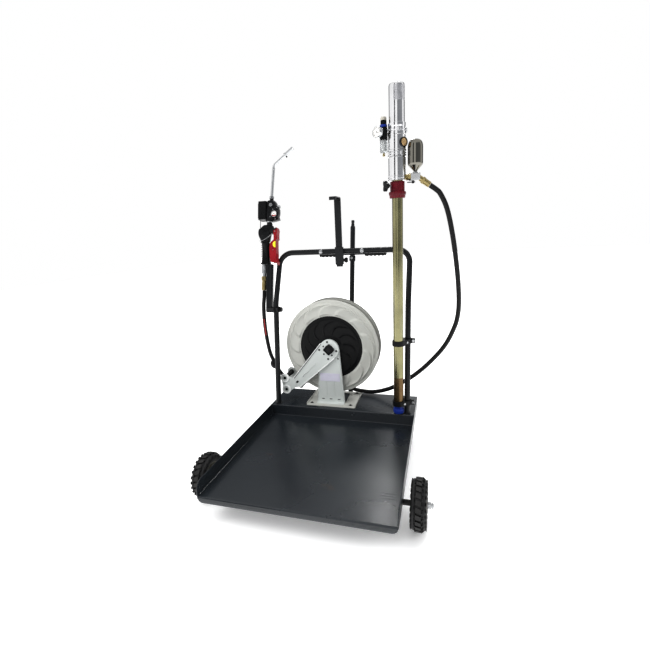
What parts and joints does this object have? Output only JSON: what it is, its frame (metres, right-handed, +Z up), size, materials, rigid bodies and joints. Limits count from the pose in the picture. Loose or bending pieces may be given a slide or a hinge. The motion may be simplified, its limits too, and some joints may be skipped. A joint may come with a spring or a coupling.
{
  "type": "oil drum dispensing trolley",
  "caption": "Wheeled tray trolley for an oil drum, with a piston pump on a suction tube, a spring hose reel on an upright stand and a metered dispensing gun on the handle frame.",
  "frame": {"origin": "centre of the bottom of the bounding box, without the hoses, on the floor plane", "axes": "+X to the right seen from the front, -Y towards the open front of the tray, +Z up"},
  "size_m": [0.963, 1.084, 1.4865],
  "materials": {
    "tray_paint": "satin powder coat",
    "black_paint": "satin powder coat",
    "black_plastic": "moulded",
    "tyre_rubber": "treaded",
    "grip_rubber": "soft matt",
    "hose_rubber": "smooth cover",
    "rim_plastic": "moulded",
    "zinc": "bright zinc plate",
    "alloy": "turned and polished",
    "chrome": "polished",
    "brass": "machined",
    "reel_paint": "light grey enamel",
    "red_plastic": "glossy",
    "blue_plastic": "glossy",
    "tube_zinc": "yellow zinc passivate",
    "clear_plastic": "clear moulded bowl",
    "yellow_plastic": "glossy",
    "dial_white": "printed dial"
  },
  "bodies": {
    "root": {"air_cylinder": "alloy", "air_valve_body": "alloy", "caster_mount_left": "zinc", "caster_mount_right": "zinc", "delivery_hose": "hose_rubber", "drum_tray": "tray_paint", "exhaust_muffler": "brass", "filter_bowl": "clear_plastic", "flow_meter": "black_plastic", "foot_valve": "blue_plastic", "front_axle": "black_paint", "gun_body": "black_plastic", "gun_holder": "black_paint", "gun_spout": "chrome", "handle_frame": "black_paint", "hose_guide_arm": "reel_paint", "hose_stop_ball": "grip_rubber", "inlet_swivel": "brass", "lower_tube_clamp": "black_plastic", "meter_dial": "dial_white", "outlet_tee": "zinc", "pressure_gauge": "chrome", "pump_lower_body": "alloy", "pump_outlet_hose": "hose_rubber", "reel_pedestal": "reel_paint", "reel_shaft": "black_plastic", "regulator_body": "black_plastic", "strap_sleeve": "black_paint", "suction_tube": "tube_zinc", "surge_damper": "chrome", "tow_bar_bracket": "tray_paint", "upper_tube_clamp": "black_plastic"},
    "front_wheel_left": {"front_tyre_left": "tyre_rubber", "front_wheel_rim_left": "rim_plastic"},
    "front_wheel_right": {"front_tyre_right": "tyre_rubber", "front_wheel_rim_right": "rim_plastic"},
    "caster_swivel_left": {"caster_fork_left": "zinc"},
    "caster_swivel_right": {"caster_fork_right": "zinc"},
    "caster_roller_left": {"caster_wheel_left": "tyre_rubber"},
    "caster_roller_right": {"caster_wheel_right": "tyre_rubber"},
    "drum_hook": {"drum_hook_strap": "black_paint"},
    "strap_knob": {"strap_clamp_knob": "black_plastic"},
    "holder_knob": {"holder_clamp_knob": "black_plastic"},
    "tow_handle": {"tow_bar": "black_paint", "tow_grip_left": "grip_rubber", "tow_grip_right": "grip_rubber"},
    "reel_drum": {"reel_front_disc": "reel_paint", "reel_rear_disc_drum": "reel_paint", "spring_case_cover": "black_plastic", "wound_hose_coil": "hose_rubber"},
    "guide_roller_top": {"upper_guide_roller": "black_plastic"},
    "guide_roller_bottom": {"lower_guide_roller": "black_plastic"},
    "air_motor_piston": {"air_piston_and_rod": "zinc"},
    "bung_collar": {"bung_adapter": "red_plastic"},
    "bung_screw": {"adapter_thumb_screw": "black_plastic"},
    "outlet_valve": {"shutoff_lever": "black_plastic"},
    "regulator_dial": {"regulator_knob": "black_plastic"},
    "trigger": {"gun_trigger": "red_plastic"},
    "lock_button": {"trigger_lock_button": "yellow_plastic"},
    "gun_swivel": {"gun_hose_swivel": "zinc"}
  },
  "joints": [
    {"name": "front_wheel_spin_left", "type": "hinge", "parent": "root", "child": "front_wheel_left", "pos_m": [-0.391, -0.3916, 0.0844], "axis": [1, 0, 0], "continuous": true},
    {"name": "caster_swivel_turn_left", "type": "hinge", "parent": "root", "child": "caster_swivel_left", "pos_m": [-0.24, 0.215, 0.118], "axis": [0, 0, 1], "continuous": true},
    {"name": "caster_wheel_spin_left", "type": "hinge", "parent": "caster_swivel_left", "child": "caster_roller_left", "pos_m": [-0.24, 0.25, 0.05], "axis": [1, 0, 0], "continuous": true},
    {"name": "front_wheel_spin_right", "type": "hinge", "parent": "root", "child": "front_wheel_right", "pos_m": [0.391, -0.3916, 0.0844], "axis": [1, 0, 0], "continuous": true},
    {"name": "caster_swivel_turn_right", "type": "hinge", "parent": "root", "child": "caster_swivel_right", "pos_m": [0.24, 0.215, 0.118], "axis": [0, 0, 1], "continuous": true},
    {"name": "caster_wheel_spin_right", "type": "hinge", "parent": "caster_swivel_right", "child": "caster_roller_right", "pos_m": [0.24, 0.25, 0.05], "axis": [1, 0, 0], "continuous": true},
    {"name": "drum_hook_slide", "type": "slide", "parent": "root", "child": "drum_hook", "axis": [0, 0, 1], "range_m": [-0.13, 0.045]},
    {"name": "strap_knob_turn", "type": "hinge", "parent": "root", "child": "strap_knob", "pos_m": [0.0051, 0.2637, 0.83], "axis": [1, 0, 0], "continuous": true},
    {"name": "holder_knob_turn", "type": "hinge", "parent": "root", "child": "holder_knob", "pos_m": [-0.2951, 0.17668, 0.612], "axis": [1, 0, 0], "continuous": true},
    {"name": "tow_bar_tilt", "type": "hinge", "parent": "root", "child": "tow_handle", "pos_m": [0, 0.346, 0.125], "axis": [-1, 0, 0], "range_deg": [0, 65]},
    {"name": "reel_spin", "type": "hinge", "parent": "root", "child": "reel_drum", "pos_m": [-0.052, 0.24, 0.4275], "axis": [0, 1, 0], "continuous": true},
    {"name": "upper_roller_spin", "type": "hinge", "parent": "root", "child": "guide_roller_top", "pos_m": [-0.2834, 0.2105, 0.2729], "axis": [0, 1, 0], "continuous": true},
    {"name": "lower_roller_spin", "type": "hinge", "parent": "root", "child": "guide_roller_bottom", "pos_m": [-0.2782, 0.2105, 0.2151], "axis": [0, 1, 0], "continuous": true},
    {"name": "air_piston_stroke", "type": "slide", "parent": "root", "child": "air_motor_piston", "axis": [0, 0, 1], "range_m": [-0.06, 0.04]},
    {"name": "bung_adapter_slide", "type": "slide", "parent": "root", "child": "bung_collar", "axis": [0, 0, 1], "range_m": [-0.5, 0]},
    {"name": "adapter_screw_turn", "type": "hinge", "parent": "bung_collar", "child": "bung_screw", "pos_m": [0.23191, 0.08871, 1.124], "axis": [-0.8499, -0.5269, 0], "continuous": true},
    {"name": "shutoff_lever_turn", "type": "hinge", "parent": "root", "child": "outlet_valve", "pos_m": [0.3327, 0.114, 1.1387], "axis": [0, 0, 1], "range_deg": [0, 90]},
    {"name": "regulator_knob_turn", "type": "hinge", "parent": "root", "child": "regulator_dial", "pos_m": [0.2215, 0.114, 1.35], "axis": [0, 0, 1], "continuous": true},
    {"name": "trigger_pull", "type": "hinge", "parent": "root", "child": "trigger", "pos_m": [-0.3155, 0.2538, 0.97068], "axis": [0, 0.9781, -0.2079], "range_deg": [0, 7], "stiffness_Nm_per_rad": 2},
    {"name": "lock_button_slide", "type": "slide", "parent": "trigger", "child": "lock_button", "axis": [0, 0.9781, -0.2079], "range_m": [0, 0.004]},
    {"name": "gun_swivel_turn", "type": "hinge", "parent": "root", "child": "gun_swivel", "pos_m": [-0.372, 0.21804, 0.80244], "axis": [0, 0.2079, 0.9781], "continuous": true}
  ]
}
